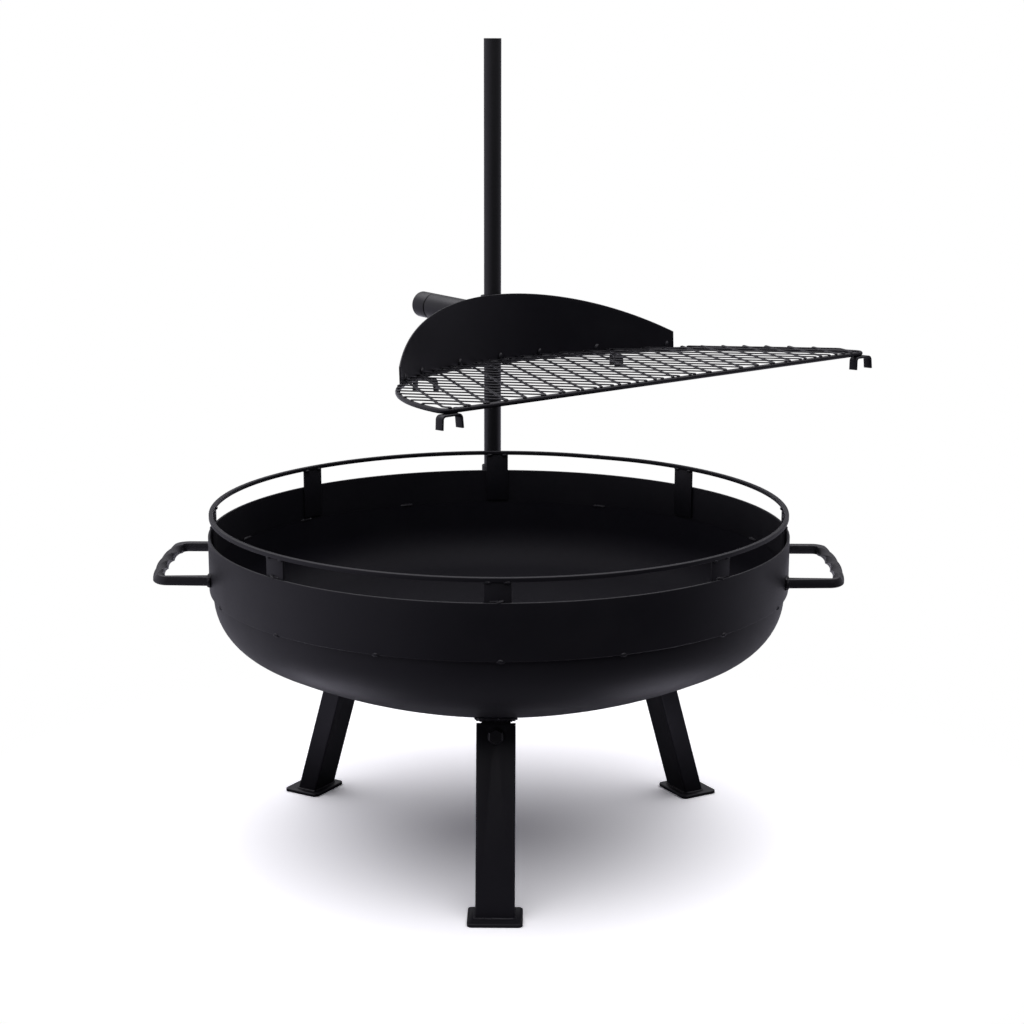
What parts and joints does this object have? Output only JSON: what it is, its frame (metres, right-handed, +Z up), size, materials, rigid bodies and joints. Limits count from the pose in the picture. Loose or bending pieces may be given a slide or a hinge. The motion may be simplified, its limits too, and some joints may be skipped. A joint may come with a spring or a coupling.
{
  "type": "fire pit with grate",
  "caption": "Round steel fire bowl on angled legs with a rail round its rim, and a half-moon mesh cooking grate that swings and slides on an upright pole.",
  "frame": {"origin": "on the ground, at the middle of the whole outline seen from above", "axes": "+Z up, -Y towards the front (the side opposite the pole), +X to the right seen from the front"},
  "size_m": [0.9916, 0.927, 1.049],
  "materials": {
    "bowl_paint": "satin black heat-resistant coat on steel, lightly textured",
    "pole_paint": "satin black heat-resistant coat on drawn tube",
    "grate_paint": "satin black heat-resistant coat on rod, plate and expanded metal",
    "fastener_black": "black-coated hex bolts, nuts and washers",
    "grip_grey": "dark grey heat-proof grip with a satin face"
  },
  "bodies": {
    "bowl": {"bowl_band": "bowl_paint", "bowl_dish": "bowl_paint", "seam_weld": "bowl_paint", "seam_tacks": "bowl_paint", "rail_ring": "bowl_paint", "rail_tab_1": "bowl_paint", "rail_tab_2": "bowl_paint", "rail_tab_3": "bowl_paint", "rail_tab_4": "bowl_paint", "rail_tab_5": "bowl_paint", "rail_tab_6": "bowl_paint", "rail_tab_7": "bowl_paint", "rail_tab_8": "bowl_paint", "carry_handle_left": "bowl_paint", "carry_handle_right": "bowl_paint", "leg_stub_front": "bowl_paint", "leg_front": "bowl_paint", "foot_plate_front": "bowl_paint", "leg_stub_right": "bowl_paint", "leg_right": "bowl_paint", "foot_plate_right": "bowl_paint", "leg_stub_left": "bowl_paint", "leg_left": "bowl_paint", "foot_plate_left": "bowl_paint", "leg_bolts": "fastener_black", "leg_washers": "fastener_black", "leg_nuts": "fastener_black", "pole_socket": "bowl_paint", "socket_floor": "bowl_paint", "socket_weld_left": "bowl_paint", "socket_weld_right": "bowl_paint"},
    "pole": {"pole": "pole_paint"},
    "grate": {"frame_arc": "grate_paint", "frame_front": "grate_paint", "grate_mesh": "grate_paint", "heat_shield": "grate_paint", "clip_front_left": "grate_paint", "clip_front_right": "grate_paint", "clip_rear_left": "grate_paint", "clip_rear_right": "grate_paint", "collar": "grate_paint", "shield_saddle": "grate_paint", "collar_weld": "grate_paint", "handle_stem": "grate_paint", "handle_grip": "grip_grey", "handle_cap": "grip_grey"}
  },
  "joints": [
    {"name": "pole_turn", "type": "hinge", "parent": "bowl", "child": "pole", "pos_m": [-0.0607, 0.3177, 0], "axis": [0, 0, 1], "continuous": true},
    {"name": "grate_height", "type": "slide", "parent": "pole", "child": "grate", "axis": [0, 0, 1], "range_m": [-0.113, 0.36]}
  ]
}
